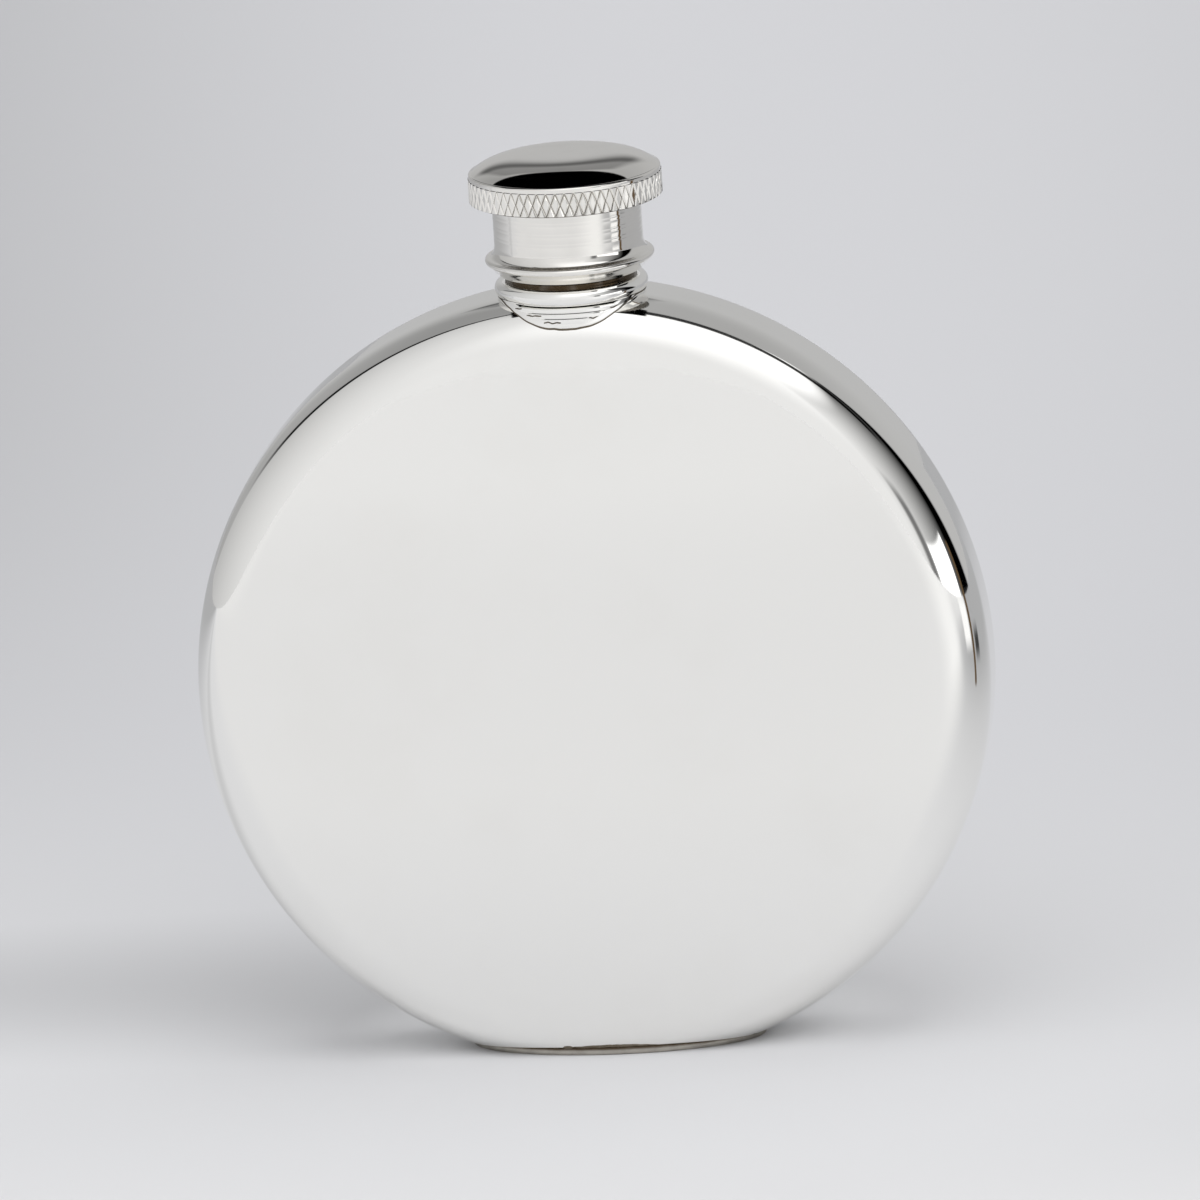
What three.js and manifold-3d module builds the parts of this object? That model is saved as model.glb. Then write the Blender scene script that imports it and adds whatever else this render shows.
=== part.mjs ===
// Round pewter hip flask. Two pressed half shells meet edge to edge round the rim, an oval plate
// closes the cut at the bottom, and a turned neck stands in a collar that is saddle-fitted to the rim.
// The screw cap has a knurled domed head, a flanged skirt, a threaded bush and a loose disc seal.
// Millimetres, +Z up. The origin is the centre of the underside, and the front faces -Y.

import * as THREE from 'three';
import { mergeVertices } from 'three/addons/utils/BufferGeometryUtils.js';
import Module from 'manifold-3d';

const wasm = await Module();
wasm.setup();

// Body: a disc on edge with a narrow straight rim, rounded edges and crowned faces.
const BODY_RADIUS = 50;
const RIM_HALF_WIDTH = 2.9;
const EDGE_RADIUS = 6.6;
const FACE_CROWN = 2.5;
const SHELL_WALL = 1.2;

// Flat bottom: the depth of disc that is cut away, and the oval plate soldered under the cut.
const BASE_FLAT_DEPTH = 3.6;
const BASE_PLATE_THICKNESS = 1.1;
const BASE_PLATE_PROUD = 0.15;
const BASE_PLATE_ROUNDING = 0.2;

// Neck: a tube with a shoulder that sits on the collar and a rounded pouring lip.
const NECK_BORE_RADIUS = 6.3;
const NECK_WALL = 1.4;
const NECK_THREAD_LENGTH = 8.75;
const NECK_DEPTH_IN_BODY = 5;
const SHOULDER_REACH = 0.65;
const SHOULDER_HEIGHT = 0.55;
const LIP_ROUNDING = 0.4;

// Collar: a bead above stepped rings, with a foot that follows the rim.
const COLLAR_WALL = 0.95;
const COLLAR_SEAT_RISE = 1.2;
const COLLAR_DROP = 4;
const BEAD_REACH = 0.9;
const BEAD_ROUNDING = 1.1;
const RING_COUNT = 3;
const RING_HEIGHT = 0.7;
const RING_STEP = 0.2;
const RING_CHAMFER = 0.12;

// Cap: the skirt's bore follows the neck, and everything outside follows the skirt.
const CAP_SEAT_GAP = 0.2;
const BUSH_WALL = 0.7;
const BUSH_SEAT_REACH = 0.25;
const BUSH_SEAT_THICKNESS = 0.5;
const SKIRT_WALL = 0.65;
const FLANGE_REACH = 1.27;
const FLANGE_RISE = 1.75;
const FLANGE_EDGE_ROUNDING = 0.45;
const FLANGE_COVE_HEIGHT = 1.55;
const SKIRT_FOOT_INSET = 0.35;
const SEAL_THICKNESS = 1.5;
const SEAL_PLAY = 0.25;
const HEAD_RECESS_DEPTH = 1.1;
const HEAD_OVERHANG = 2.8;
const HEAD_RIM_HEIGHT = 3.1;
const HEAD_RIM_CHAMFER = 0.2;
const HEAD_EDGE_INSET = 0.1;
const HEAD_EDGE_HEIGHT = 0.7;
const HEAD_EDGE_ROUNDING = 0.3;
const DOME_HEIGHT = 1.95;
const DOME_POWER = 4.8;
const KNURL_COUNT = 64;
const KNURL_ROWS = 2;
const KNURL_DEPTH = 0.28;

// Clearances between the pieces.
const SOLDER_GAP = 0.3;
const FIT_GAP = 0.1;
const THREAD_GAP = 0.2;

// Facets, and how far a cutting tool runs past what it cuts.
const BODY_SEGMENTS = 64;
const TURNED_SEGMENTS = 40;
const PLATE_SEGMENTS = 30;
const OUTSIDE_STEPS = { edge: 6, crown: 3 };
const INSIDE_STEPS = { edge: 4, crown: 2 };
const SADDLE_STEPS = { edge: 12, crown: 4 };
const BEAD_STEPS = 6;
const COVE_STEPS = 5;
const LIP_STEPS = 2;
const DOME_STEPS = 6;
const TOOL_OVERRUN = 1;
const MERGE_DISTANCE = 1e-4;

// Body values that follow from those sizes. The crown is a sphere that runs smoothly into the edge.
const edgeCentreRadius = BODY_RADIUS - EDGE_RADIUS;
const halfDepth = RIM_HALF_WIDTH + EDGE_RADIUS + FACE_CROWN;
const edgeToFace = EDGE_RADIUS + FACE_CROWN;
const crownRadius = (edgeCentreRadius ** 2 + edgeToFace ** 2 - EDGE_RADIUS ** 2) / (2 * FACE_CROWN);
const crownCentre = halfDepth - crownRadius;
const crownAngle = Math.asin(edgeCentreRadius / (crownRadius - EDGE_RADIUS));
const baseCutDistance = BODY_RADIUS - BASE_FLAT_DEPTH;
const baseCutHalfWidth = Math.sqrt(BODY_RADIUS ** 2 - baseCutDistance ** 2);
const baseCutHalfDepth = RIM_HALF_WIDTH + Math.sqrt(EDGE_RADIUS ** 2 - (EDGE_RADIUS - BASE_FLAT_DEPTH) ** 2);
const bodyCentreZ = baseCutDistance + BASE_PLATE_THICKNESS;
const bodyTopZ = bodyCentreZ + BODY_RADIUS;

// Neck heights, measured from the top of the rim.
const neckRadius = NECK_BORE_RADIUS + NECK_WALL;
const shoulderRadius = neckRadius + SHOULDER_REACH;
const shoulderTop = COLLAR_SEAT_RISE + SHOULDER_HEIGHT;
const lipTop = shoulderTop + NECK_THREAD_LENGTH;
const collarBore = neckRadius + FIT_GAP;
const collarFootRadius = collarBore + COLLAR_WALL;
const beadRadius = collarFootRadius + BEAD_REACH;

// Cap heights, measured from the foot of the skirt.
const capFootZ = bodyTopZ + shoulderTop + CAP_SEAT_GAP;
const sealBottom = lipTop - shoulderTop - CAP_SEAT_GAP;
const recessCeiling = sealBottom + SEAL_THICKNESS + SEAL_PLAY;
const headBottom = recessCeiling - HEAD_RECESS_DEPTH;
const headRimTop = headBottom + HEAD_RIM_HEIGHT;
const skirtTop = recessCeiling - FIT_GAP;
const bushInnerRadius = neckRadius + THREAD_GAP;
const bushOuterRadius = bushInnerRadius + BUSH_WALL;
const skirtBore = bushOuterRadius + FIT_GAP;
const skirtRadius = skirtBore + SKIRT_WALL;
const flangeRadius = skirtRadius + FLANGE_REACH;
const headRadius = skirtRadius + HEAD_OVERHANG;

// A point of a profile: distance from the axis, then height.
function at(radius, height) {
  return new THREE.Vector2(radius, height);
}

// Points along an elliptical arc, from one angle to another in radians.
function arc(centreX, centreY, radiusX, radiusY, from, to, steps) {
  return new THREE.EllipseCurve(centreX, centreY, radiusX, radiusY, from, to, to < from).getPoints(steps);
}

// A closed solid from a geometry whose corners are shared by position alone.
function solidOf(geometry) {
  geometry.deleteAttribute('normal');
  geometry.deleteAttribute('uv');
  const merged = mergeVertices(geometry, MERGE_DISTANCE);
  const corners = merged.index.array;
  const triangles = [];
  for (let i = 0; i < corners.length; i += 3) {
    const [a, b, c] = corners.slice(i, i + 3);
    if (a !== b && b !== c && c !== a) {
      triangles.push(a, b, c);
    }
  }
  return new wasm.Manifold(new wasm.Mesh({
    numProp: 3,
    vertProperties: Float32Array.from(merged.attributes.position.array),
    triVerts: Uint32Array.from(triangles),
  }));
}

function geometryOf(solid) {
  const mesh = solid.getMesh();
  const geometry = new THREE.BufferGeometry();
  geometry.setAttribute('position', new THREE.BufferAttribute(mesh.vertProperties, 3));
  geometry.setIndex(new THREE.BufferAttribute(mesh.triVerts, 1));
  geometry.computeVertexNormals();
  return geometry;
}

// A piece turned about the vertical axis.
function turned(profile) {
  return solidOf(new THREE.LatheGeometry(profile, TURNED_SEGMENTS).rotateX(Math.PI / 2));
}

// A ring turned about the vertical axis: its profile closes on its first point.
function turnedRing(profile) {
  return turned([...profile, profile[0]]);
}

function uprightCylinder(radius, bottom, top) {
  const cylinder = new THREE.CylinderGeometry(radius, radius, top - bottom, TURNED_SEGMENTS);
  return solidOf(cylinder.rotateX(Math.PI / 2).translate(0, 0, (bottom + top) / 2));
}

// Half of the disc's outline, from the middle of the rim to the middle of a face.
// A positive offset lies outside the body and a negative one inside its wall.
function halfOutline(offset, steps) {
  const edgeEnd = Math.PI / 2 - crownAngle;
  const edge = arc(
    edgeCentreRadius, RIM_HALF_WIDTH, EDGE_RADIUS + offset, EDGE_RADIUS + offset, 0, edgeEnd, steps.edge);
  const crown = arc(
    0, crownCentre, crownRadius + offset, crownRadius + offset, edgeEnd, Math.PI / 2, steps.crown);
  const face = at(0, halfDepth + offset);
  return [at(BODY_RADIUS + offset, 0), ...edge, ...crown.slice(1, -1), face];
}

// The whole disc as one solid, grown by an offset. It cuts the saddle in the collar.
function bodyBlank(offset) {
  const half = halfOutline(offset, SADDLE_STEPS);
  const otherHalf = half.slice(1).reverse().map((point) => at(point.x, -point.y));
  return solidOf(new THREE.LatheGeometry([...otherHalf, ...half.slice(1)], BODY_SEGMENTS));
}

// One pressed dish, open at the flat bottom and drilled for the neck. The back one faces +Y.
function halfShell(isFront) {
  const outside = halfOutline(0, OUTSIDE_STEPS);
  const inside = halfOutline(-SHELL_WALL, INSIDE_STEPS).reverse();
  const dish = new THREE.LatheGeometry([...inside, ...outside], BODY_SEGMENTS);
  if (isFront) {
    dish.rotateX(Math.PI);
  }
  const cutWidth = 2 * (BODY_RADIUS + TOOL_OVERRUN);
  const baseCut = new THREE.BoxGeometry(cutWidth, cutWidth, BODY_RADIUS);
  baseCut.translate(0, 0, -baseCutDistance - BODY_RADIUS / 2);
  const neckHole = uprightCylinder(neckRadius + SOLDER_GAP, 0, BODY_RADIUS + TOOL_OVERRUN);
  return solidOf(dish).subtract(solidOf(baseCut)).subtract(neckHole);
}

// An oval as wide as the cut and a little deeper than it, with its edges rounded over.
function basePlate() {
  const ovalWidth = baseCutHalfWidth - BASE_PLATE_ROUNDING;
  const ovalDepth = baseCutHalfDepth + BASE_PLATE_PROUD - BASE_PLATE_ROUNDING;
  const oval = new THREE.Shape().absellipse(0, 0, ovalWidth, ovalDepth, 0, 2 * Math.PI);
  const plate = new THREE.ExtrudeGeometry(oval, {
    depth: BASE_PLATE_THICKNESS - 2 * BASE_PLATE_ROUNDING,
    curveSegments: PLATE_SEGMENTS,
    bevelThickness: BASE_PLATE_ROUNDING,
    bevelSize: BASE_PLATE_ROUNDING,
    bevelSegments: LIP_STEPS,
  });
  return solidOf(plate.translate(0, 0, BASE_PLATE_ROUNDING - bodyCentreZ));
}

// Flat seat for the neck's shoulder, round bead, stepped rings and a foot cut to the rim.
function neckCollar() {
  const beadCentre = COLLAR_SEAT_RISE - BEAD_ROUNDING;
  const bead = arc(
    beadRadius - BEAD_ROUNDING, beadCentre, BEAD_ROUNDING, BEAD_ROUNDING,
    -Math.PI / 2, Math.PI / 2, BEAD_STEPS);
  const rings = [];
  for (let i = RING_COUNT - 1; i >= 0; i -= 1) {
    const radius = collarFootRadius + (RING_COUNT - 1 - i) * RING_STEP;
    const top = beadCentre - BEAD_ROUNDING - i * RING_HEIGHT;
    const bottom = i === RING_COUNT - 1 ? -COLLAR_DROP : top - RING_HEIGHT;
    rings.push(at(radius, bottom), at(radius, top - RING_CHAMFER), at(radius - RING_CHAMFER, top));
  }
  const collar = turnedRing([
    at(collarBore, -COLLAR_DROP),
    ...rings,
    ...bead,
    at(collarBore, COLLAR_SEAT_RISE),
  ]);
  return collar.subtract(bodyBlank(SOLDER_GAP).translate(0, 0, -BODY_RADIUS));
}

// Plain below its shoulder, where it goes down through the collar into the body.
function neckTube() {
  const outerLip = arc(
    neckRadius - LIP_ROUNDING, lipTop - LIP_ROUNDING, LIP_ROUNDING, LIP_ROUNDING, 0, Math.PI / 2, LIP_STEPS);
  const innerLip = arc(
    NECK_BORE_RADIUS + LIP_ROUNDING, lipTop - LIP_ROUNDING, LIP_ROUNDING, LIP_ROUNDING,
    Math.PI / 2, Math.PI, LIP_STEPS);
  return turnedRing([
    at(NECK_BORE_RADIUS, -NECK_DEPTH_IN_BODY),
    at(neckRadius, -NECK_DEPTH_IN_BODY),
    at(neckRadius, COLLAR_SEAT_RISE),
    at(shoulderRadius, COLLAR_SEAT_RISE),
    at(shoulderRadius, shoulderTop),
    at(neckRadius, shoulderTop),
    ...outerLip,
    ...innerLip,
  ]);
}

// A thin sleeve that flares to a rounded flange near its foot. An inner ledge carries the bush.
function capSkirt() {
  const edgeRadius = flangeRadius - FLANGE_EDGE_ROUNDING;
  const flangeTop = FLANGE_RISE + FLANGE_EDGE_ROUNDING;
  const edge = arc(
    edgeRadius, FLANGE_RISE, FLANGE_EDGE_ROUNDING, FLANGE_EDGE_ROUNDING,
    -Math.PI / 2, Math.PI / 2, BEAD_STEPS);
  const cove = arc(
    edgeRadius, flangeTop + FLANGE_COVE_HEIGHT, edgeRadius - skirtRadius, FLANGE_COVE_HEIGHT,
    1.5 * Math.PI, Math.PI, COVE_STEPS);
  const ledgeRadius = bushOuterRadius - BUSH_SEAT_REACH;
  return turnedRing([
    at(ledgeRadius, 0),
    at(skirtRadius - SKIRT_FOOT_INSET, 0),
    ...edge,
    ...cove.slice(1),
    at(skirtRadius, skirtTop),
    at(skirtBore, skirtTop),
    at(skirtBore, BUSH_SEAT_THICKNESS),
    at(ledgeRadius, BUSH_SEAT_THICKNESS),
  ]);
}

// Sits on the skirt's ledge and stops just short of the seal.
function capThreadBush() {
  const top = sealBottom - CAP_SEAT_GAP;
  return turnedRing([
    at(bushInnerRadius, BUSH_SEAT_THICKNESS),
    at(bushOuterRadius, BUSH_SEAT_THICKNESS),
    at(bushOuterRadius, top),
    at(bushInnerRadius, top),
  ]);
}

// A disc held loosely between the bush and the head. It rests on the neck's lip.
function capSeal() {
  return uprightCylinder(skirtBore - SOLDER_GAP, sealBottom, sealBottom + SEAL_THICKNESS);
}

// The dome's profile: nearly flat in the middle and falling ever faster to its foot.
function domeProfile(foot) {
  const points = [];
  for (let i = 1; i <= DOME_STEPS; i += 1) {
    const across = Math.sqrt(1 - i / DOME_STEPS);
    points.push(at(foot.x * across, foot.y + DOME_HEIGHT * (1 - across ** DOME_POWER)));
  }
  return points;
}

// A turned disc with a plain rounded edge over a diamond knurl. The knurl's corners alternate between
// the full radius and the groove, and each cell is split along its groove, so every diamond rises
// to a point at its middle.
function knurledHead() {
  const edgeRadius = headRadius - HEAD_EDGE_INSET;
  const domeFoot = headRimTop + HEAD_EDGE_HEIGHT;
  const edge = arc(
    edgeRadius - HEAD_EDGE_ROUNDING, domeFoot - HEAD_EDGE_ROUNDING, HEAD_EDGE_ROUNDING, HEAD_EDGE_ROUNDING,
    0, Math.PI / 2, LIP_STEPS);
  const dome = domeProfile(edge[edge.length - 1]);
  const knurlBottom = headBottom + HEAD_RIM_CHAMFER;
  const rowHeight = (HEAD_RIM_HEIGHT - HEAD_RIM_CHAMFER) / KNURL_ROWS;
  const recessRadius = skirtRadius + FIT_GAP;
  const below = [
    at(0, recessCeiling),
    at(recessRadius, recessCeiling),
    at(recessRadius, headBottom),
    at(headRadius - HEAD_RIM_CHAMFER, headBottom),
  ];
  const knurl = [];
  for (let row = 0; row <= KNURL_ROWS; row += 1) {
    knurl.push(at(headRadius, knurlBottom + row * rowHeight));
  }
  const profile = [...below, ...knurl, at(edgeRadius, headRimTop + HEAD_RIM_CHAMFER), ...edge, ...dome];

  const columns = 2 * KNURL_COUNT;
  const isGroove = (row, column) => (row + column) % 2 === 1;
  const positions = [];
  profile.forEach((point, row) => {
    const isKnurled = row >= below.length && row < below.length + knurl.length;
    for (let column = 0; column < columns; column += 1) {
      const radius = isKnurled && isGroove(row, column) ? point.x - KNURL_DEPTH : point.x;
      const angle = (2 * Math.PI * column) / columns;
      positions.push(radius * Math.cos(angle), radius * Math.sin(angle), point.y);
    }
  });
  const triangles = [];
  for (let row = 0; row < profile.length - 1; row += 1) {
    for (let column = 0; column < columns; column += 1) {
      const next = (column + 1) % columns;
      const a = row * columns + column;
      const b = row * columns + next;
      const c = b + columns;
      const d = a + columns;
      triangles.push(...(isGroove(row, column) ? [a, b, c, a, c, d] : [a, b, d, b, c, d]));
    }
  }
  const geometry = new THREE.BufferGeometry();
  geometry.setAttribute('position', new THREE.Float32BufferAttribute(positions, 3));
  geometry.setIndex(triangles);
  return solidOf(geometry);
}

// Finishes: bright polished pewter, a duller turned thread metal and an off-white seal.
const POLISHED_PEWTER = { color: 0xd2d0cb, roughness: 0.08, metalness: 1 };
const TURNED_PEWTER = { color: 0xc4c1ba, roughness: 0.25, metalness: 1 };
const SEAL_RUBBER = { color: 0xd9d3c4, roughness: 0.7, metalness: 0 };

function addPiece(group, name, solid, finish) {
  const mesh = new THREE.Mesh(geometryOf(solid), new THREE.MeshStandardMaterial(finish));
  mesh.name = name;
  group.add(mesh);
}

const body = new THREE.Group();
body.position.z = bodyCentreZ;
addPiece(body, 'front_shell', halfShell(true), POLISHED_PEWTER);
addPiece(body, 'back_shell', halfShell(false), POLISHED_PEWTER);
addPiece(body, 'base_plate', basePlate(), POLISHED_PEWTER);

const neck = new THREE.Group();
neck.position.z = bodyTopZ;
addPiece(neck, 'neck_collar', neckCollar(), POLISHED_PEWTER);
addPiece(neck, 'neck_tube', neckTube(), TURNED_PEWTER);

const cap = new THREE.Group();
cap.position.z = capFootZ;
addPiece(cap, 'cap_skirt', capSkirt(), POLISHED_PEWTER);
addPiece(cap, 'cap_head', knurledHead(), POLISHED_PEWTER);
addPiece(cap, 'cap_thread_bush', capThreadBush(), TURNED_PEWTER);
addPiece(cap, 'cap_seal', capSeal(), SEAL_RUBBER);

const flask = new THREE.Group();
flask.add(body, neck, cap);

export default flask;
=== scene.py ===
import math

import bpy
import bmesh
from mathutils import Matrix, Vector, noise


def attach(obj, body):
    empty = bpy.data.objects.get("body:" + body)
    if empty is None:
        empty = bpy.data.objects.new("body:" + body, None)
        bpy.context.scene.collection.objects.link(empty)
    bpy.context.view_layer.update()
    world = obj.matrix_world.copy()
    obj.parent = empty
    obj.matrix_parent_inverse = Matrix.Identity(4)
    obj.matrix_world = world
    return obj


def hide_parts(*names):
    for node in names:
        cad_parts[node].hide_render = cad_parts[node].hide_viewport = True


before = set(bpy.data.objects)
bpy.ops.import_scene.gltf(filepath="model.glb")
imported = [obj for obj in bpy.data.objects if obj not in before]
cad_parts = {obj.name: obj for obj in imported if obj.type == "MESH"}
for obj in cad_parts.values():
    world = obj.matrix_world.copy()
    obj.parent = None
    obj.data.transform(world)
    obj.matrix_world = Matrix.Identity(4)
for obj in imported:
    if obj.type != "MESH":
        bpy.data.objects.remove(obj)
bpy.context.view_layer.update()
scene = bpy.context.scene
scene.view_settings.view_transform = "Standard"
mm = 0.001  # the shapes below are in millimetres, and go to metres as they are finished
print("frame loaded with", len(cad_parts), "nodes")


# camera: turned a little to the left of the flask's front, looking down, and tilted with the table

cameraView = {
    "aimAt": (0.0, 0.0, 55.0),
    "aimPixel": (592.9, 613.4),
    "azimuth": 6.63,
    "elevation": 13.52,
    "roll": 3.70,
    "distance": 3000.0,
    "pixelsPerMm": 7.969,
    "imageSize": 1200,
    "sensorWidth": 36.0,
}


def placeCamera(v):
    turn, rise, roll = (math.radians(v[key]) for key in ("azimuth", "elevation", "roll"))
    back = Vector((math.sin(turn) * math.cos(rise), -math.cos(turn) * math.cos(rise), math.sin(rise)))
    level = Vector((math.cos(turn), math.sin(turn), 0))
    right = level * math.cos(roll) - back.cross(level) * math.sin(roll)
    up = back.cross(right)
    middle = v["imageSize"] / 2
    aim = Vector(v["aimAt"])
    aim += right * (middle - v["aimPixel"][0]) / v["pixelsPerMm"]
    aim += up * (v["aimPixel"][1] - middle) / v["pixelsPerMm"]
    data = bpy.data.cameras.new("flaskCamera")
    data.sensor_width = v["sensorWidth"]
    data.lens = v["sensorWidth"] * v["pixelsPerMm"] * v["distance"] / v["imageSize"]
    data.clip_start, data.clip_end = 0.01, 50
    camera = bpy.data.objects.new("flaskCamera", data)
    scene.collection.objects.link(camera)
    axes = Matrix((right, up, back)).transposed()
    camera.matrix_world = Matrix.Translation((aim + back * v["distance"]) * mm) @ axes.to_4x4()
    scene.camera = camera


placeCamera(cameraView)
print("camera placed")


# shader sockets as Python values

class shaderWire:
    def __init__(self, tree, socket=None):
        self.tree = tree
        self.socket = socket

    def node(self, kind, settings=None, inputs=None, output=0):
        made = self.tree.nodes.new(kind)
        for name, value in (settings or {}).items():
            setattr(made, name, value)
        for name, value in (inputs or {}).items():
            if isinstance(value, shaderWire):
                self.tree.links.new(value.socket, made.inputs[name])
            else:
                made.inputs[name].default_value = value
        return shaderWire(self.tree, made.outputs[output] if made.outputs else None)

    def other(self, output):
        return shaderWire(self.tree, self.socket.node.outputs[output])

    def maths(self, operation, first, second=0.0):
        return self.node("ShaderNodeMath", {"operation": operation}, {0: first, 1: second})

    def __add__(self, value):
        return self.maths("ADD", self, value)

    def __radd__(self, value):
        return self.maths("ADD", value, self)

    def __sub__(self, value):
        return self.maths("SUBTRACT", self, value)

    def __rsub__(self, value):
        return self.maths("SUBTRACT", value, self)

    def __mul__(self, value):
        return self.maths("MULTIPLY", self, value)

    def __rmul__(self, value):
        return self.maths("MULTIPLY", value, self)

    def __truediv__(self, value):
        return self.maths("DIVIDE", self, value)

    def __pow__(self, value):
        return self.maths("POWER", self, value)

    def ease(self, low, high):  # 0 below low, 1 above high, smooth between
        return self.node("ShaderNodeMapRange", {"interpolation_type": "SMOOTHSTEP"},
                         {"Value": self, "From Min": low, "From Max": high})

    def slide(self, low, high):  # the same in a straight line
        return self.node("ShaderNodeMapRange", None, {"Value": self, "From Min": low, "From Max": high})

    def band(self, low, high, soft):  # 1 between low and high
        return self.ease(low - soft, low + soft) * (1 - self.ease(high - soft, high + soft))

    def blend(self, first, second):  # from one colour to the other as this goes from 0 to 1
        return self.node("ShaderNodeMix", {"data_type": "RGBA"}, {0: self, 6: first, 7: second}, 2)

    def larger(self, value):
        return self.maths("MAXIMUM", self, value)

    def size(self):
        return self.maths("ABSOLUTE", self)

    def place(self):  # where on the piece
        return self.node("ShaderNodeTexCoord", None, None, 3)

    def axis(self, number):
        return self.node("ShaderNodeSeparateXYZ", None, {0: self}, number)

    def grain(self, scale, detail, roughness=0.5):
        return self.node("ShaderNodeTexNoise", None,
                         {"Vector": self, "Scale": scale, "Detail": detail, "Roughness": roughness})

    def bump(self, distance, strength=1.0):
        return self.node("ShaderNodeBump", None,
                         {"Strength": strength, "Distance": distance, "Height": self})

    def metal(self, colour, roughness, normal):
        return self.node("ShaderNodeBsdfPrincipled", None,
                         {"Base Color": colour, "Metallic": 1.0, "Roughness": roughness, "Normal": normal})


def grey(value):
    return (value, value, value, 1)


def startMaterial(name):
    material = bpy.data.materials.new(name)
    material.use_nodes = True
    material.node_tree.nodes.clear()
    return material, shaderWire(material.node_tree)


def endMaterial(wire, shader):
    wire.node("ShaderNodeOutputMaterial", None, {"Surface": shader})


def makeObject(name, bm):
    bmesh.ops.scale(bm, verts=bm.verts, vec=(mm, mm, mm))
    mesh = bpy.data.meshes.new(name)
    bm.to_mesh(mesh)
    bm.free()
    piece = bpy.data.objects.new(name, mesh)
    scene.collection.objects.link(piece)
    return piece


# studio: a pale floor under a soft room, bright in front and above, grey behind, dark at the far right

studioRoom = {
    "seen": (0.60, 0.61, 0.635),       # what the camera sees past the floor
    "behindLow": 0.50,
    "behindHigh": 0.41,
    "frontLeft": 0.52,
    "frontMiddle": 0.85,
    "frontHigh": 0.33,
    "frontSpread": (-118, -10),        # left to middle, in degrees round from the front
    "frontRise": (10, 48),             # the extra light higher up, and how it comes in from the left
    "frontTurn": (-34, 6),
    "behindRise": (15, 60),
    "dusk": (-150, -90, 14),           # the left corner is dimmer
    "duskDepth": 0.11,
    "leftSeam": (-131.0, 0.609),       # corner of the room: where it is at the horizon, and how it leans
    "leftFade": (1.5, 4.5),
    "rightSeam": (116.0, -0.38),
    "rightFade": (-1, 1.5),
    "ceilingGap": (-0.11, 0.03),       # dark slit across the ceiling, one unit up
    "gapReach": (-0.2, 1.6),
    "gapDepth": 0.97,
    "seamSlit": (1.6, 4.6),            # the left corner is a dark line from this height up
    "slitRise": (10, 26),
    "darkSide": (30.0, 96.0),          # the right side goes dark from here to here
    "darkTop": (34, 43),               # its top slopes up from this place to the right
    "darkSlope": (54, 0.3),
    "window": (49.0, 86.0, -6.0, 8.0),
    "windowLight": 1.5,
    "windowSlope": 0.16,
    "frameStart": 39.0,                # a darker frame beside the window
    "frameRise": (-8, 14),
    "frameDepth": 0.72,
}


def lightRoom(r):
    world = bpy.data.worlds.new("studioRoom")
    scene.world = world
    world.use_nodes = True
    world.node_tree.nodes.clear()
    wire = shaderWire(world.node_tree)
    toward = wire.node("ShaderNodeTexCoord")
    x = toward.axis(0)
    y, z = x.other(1), x.other(2)
    around = wire.maths("ARCTAN2", x, 0 - y) * math.degrees(1)   # 0 in front, + to the right
    rise = wire.maths("ARCSINE", z) * math.degrees(1)
    up = z.larger(0.02)

    frontLevel = (r["frontLeft"]
                  + (r["frontMiddle"] - r["frontLeft"]) * around.slide(*r["frontSpread"])
                  + r["frontHigh"] * rise.ease(*r["frontRise"]) * around.ease(*r["frontTurn"]))
    level = r["behindLow"] - (r["behindLow"] - r["behindHigh"]) * rise.ease(*r["behindRise"])
    level = level - r["duskDepth"] * around.band(*r["dusk"])
    fromLeft = around - r["leftSeam"][0] - rise * r["leftSeam"][1]
    fromRight = around - r["rightSeam"][0] - rise * r["rightSeam"][1]
    front = fromLeft.ease(*r["leftFade"]) * (frontLevel - level) * (1 - fromRight.ease(*r["rightFade"]))
    level = level + front

    start, end = r["darkSide"]
    shade = (1 - around.slide(start, end)) * r["frontMiddle"]
    dark = around.ease(start - 3, start + 3) * (1 - fromRight.ease(-3, 3))
    turn, slope = r["darkSlope"]
    dark = dark * (1 - (rise - slope * (around - turn)).ease(*r["darkTop"]))
    level = level + dark * (shade - level)

    slit = (1 - fromLeft.size().ease(*r["seamSlit"])) * rise.ease(*r["slitRise"])
    level = level * (1 - slit * (1 - x.ease(-0.1, 0.0)))
    gap = (y / up).band(*r["ceilingGap"], 0.02) * (x / up).band(*r["gapReach"], 0.2)
    level = level * (1 - r["gapDepth"] * gap)

    left, right, low, high = r["window"]
    frameEdge = around.band(r["frameStart"], left - 1, 3) * rise.band(*r["frameRise"], 4)
    level = level * (1 - frameEdge * r["frameDepth"])
    window = around.band(left, right, 0.8) * rise.band(low, 30, 0.8)
    window = window * (1 - (rise - r["windowSlope"] * (around - left)).ease(high - 3.2, high - 1.6))
    level = level + window * (r["windowLight"] - level)

    light = wire.node("ShaderNodeCombineColor", None, {0: level, 1: level, 2: level * 1.005})
    studio = wire.node("ShaderNodeBackground", None, {"Color": light})
    plain = wire.node("ShaderNodeBackground", None, {"Color": (*r["seen"], 1)})
    camera = wire.node("ShaderNodeLightPath")
    both = wire.node("ShaderNodeMixShader", None, {0: camera, 1: studio, 2: plain})
    wire.node("ShaderNodeOutputWorld", None, {"Surface": both})


lightRoom(studioRoom)

softLamp = {
    "lean": (-12.0, 12.0),     # a broad overhead light, leaning to the front and to the right
    "spread": 90.0,
    "strength": 1.55,
}


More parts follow.
